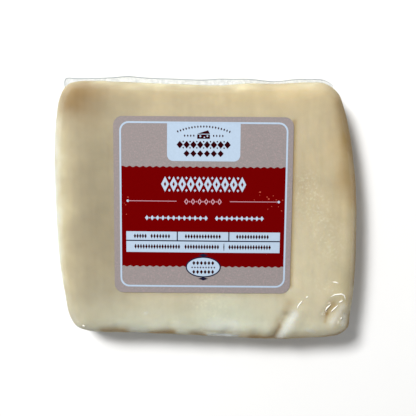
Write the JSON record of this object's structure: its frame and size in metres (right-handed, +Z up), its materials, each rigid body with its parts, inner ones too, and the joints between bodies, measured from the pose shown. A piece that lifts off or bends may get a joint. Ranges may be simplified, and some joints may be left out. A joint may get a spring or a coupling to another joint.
{
  "type": "vacuum-packed mozzarella block",
  "caption": "Flat rectangular block of mozzarella sealed in clear shrink film, with a square paper label on its face, lying on its back.",
  "frame": {"origin": "middle of the flat underside, on the surface that the pack lies on", "axes": "+X to the right of the label, +Y to the pack's top edge with the seal fin, +Z up out of the labelled face"},
  "size_m": [0.112, 0.0983, 0.023],
  "materials": {
    "filmed_cheese": "pale cheese under clear shrink film, glossy",
    "label_paper": "printed kraft paper, matt"
  },
  "bodies": {
    "root": {"sealed_pack": "filmed_cheese", "label": "label_paper"}
  },
  "joints": []
}
